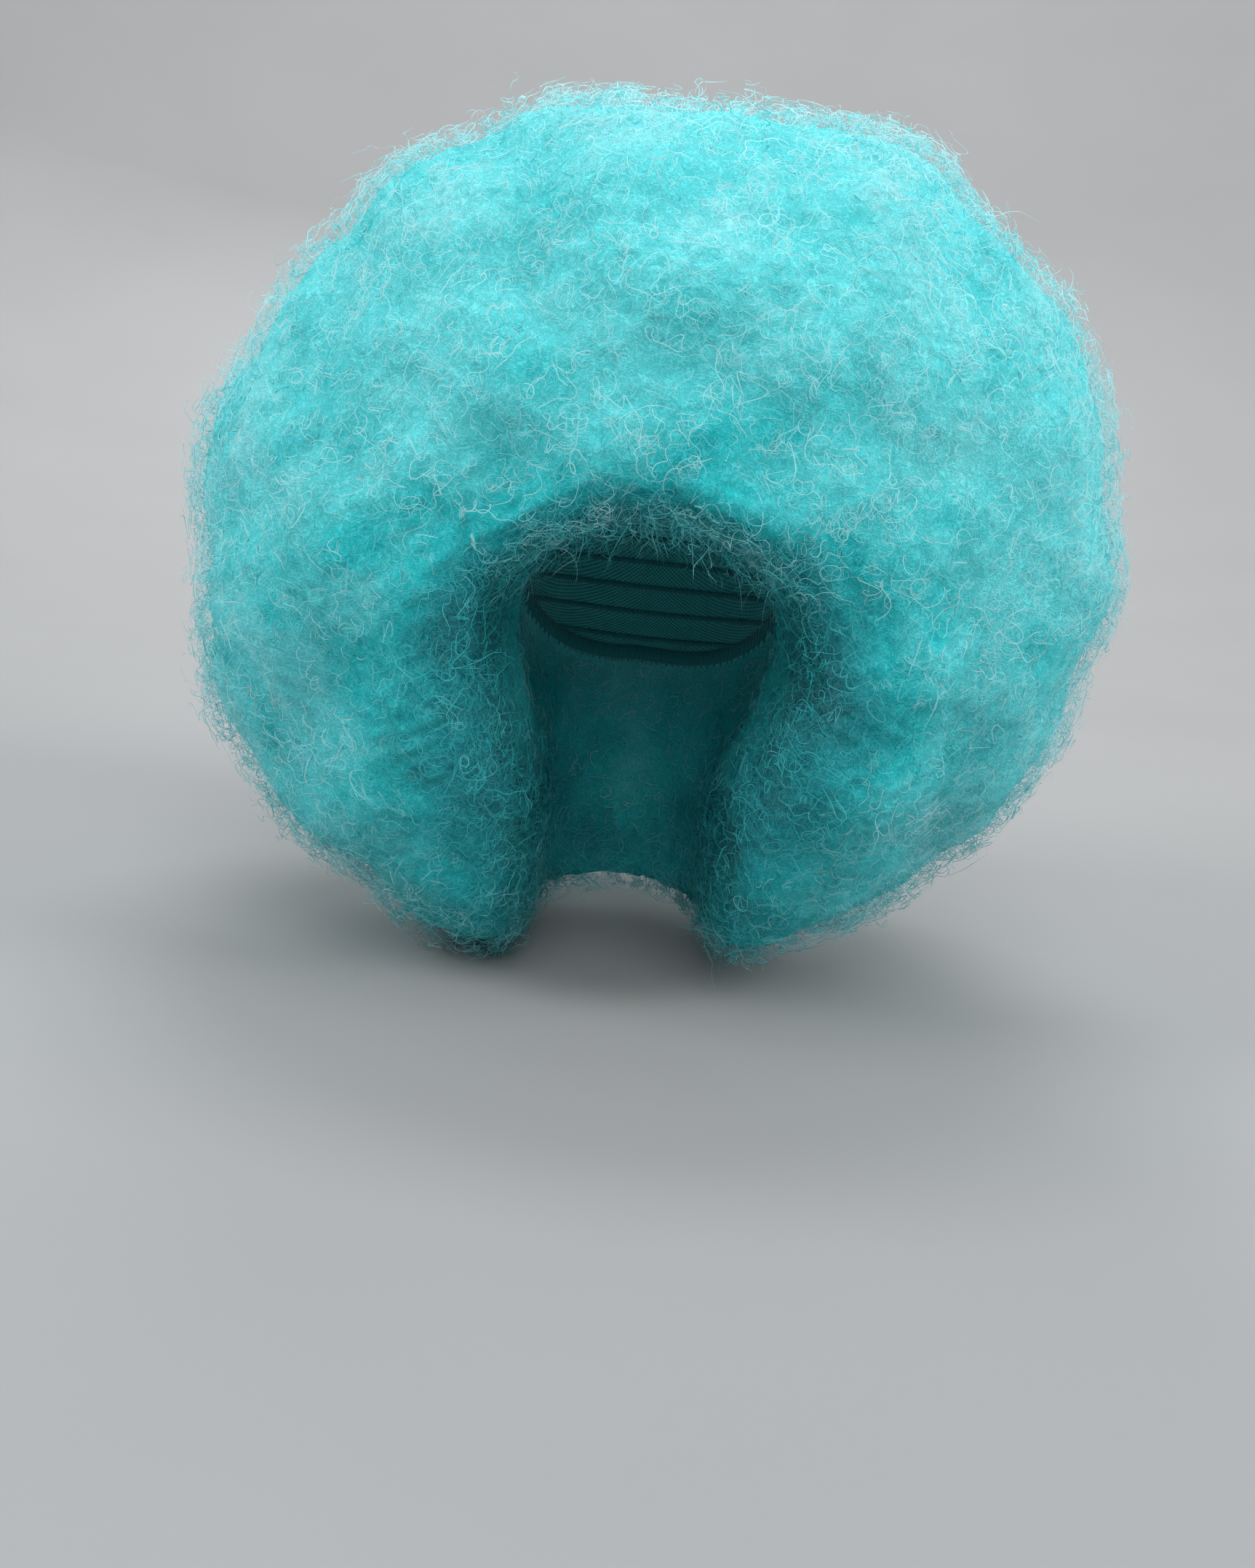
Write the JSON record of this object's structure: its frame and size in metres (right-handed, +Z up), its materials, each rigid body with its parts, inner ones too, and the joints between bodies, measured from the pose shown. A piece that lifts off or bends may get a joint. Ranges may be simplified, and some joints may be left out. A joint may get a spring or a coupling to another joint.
{
  "type": "afro wig",
  "caption": "Large round afro wig: a mass of teased curly hair in soft locks on a close stretch cap, open for the face and neck.",
  "frame": {"origin": "crown seat: where the top of the head meets the inside of the cap", "axes": "+Z up, the face looks along -Y, +X to the right of someone who looks at the face"},
  "size_m": [0.4805, 0.3779, 0.4465],
  "materials": {
    "cap_net": "open stretch net with sewn rows",
    "hair_fibre": "teased curly synthetic fibre, soft sheen"
  },
  "bodies": {
    "root": {"cap": "cap_net", "hair": "hair_fibre"}
  },
  "joints": []
}
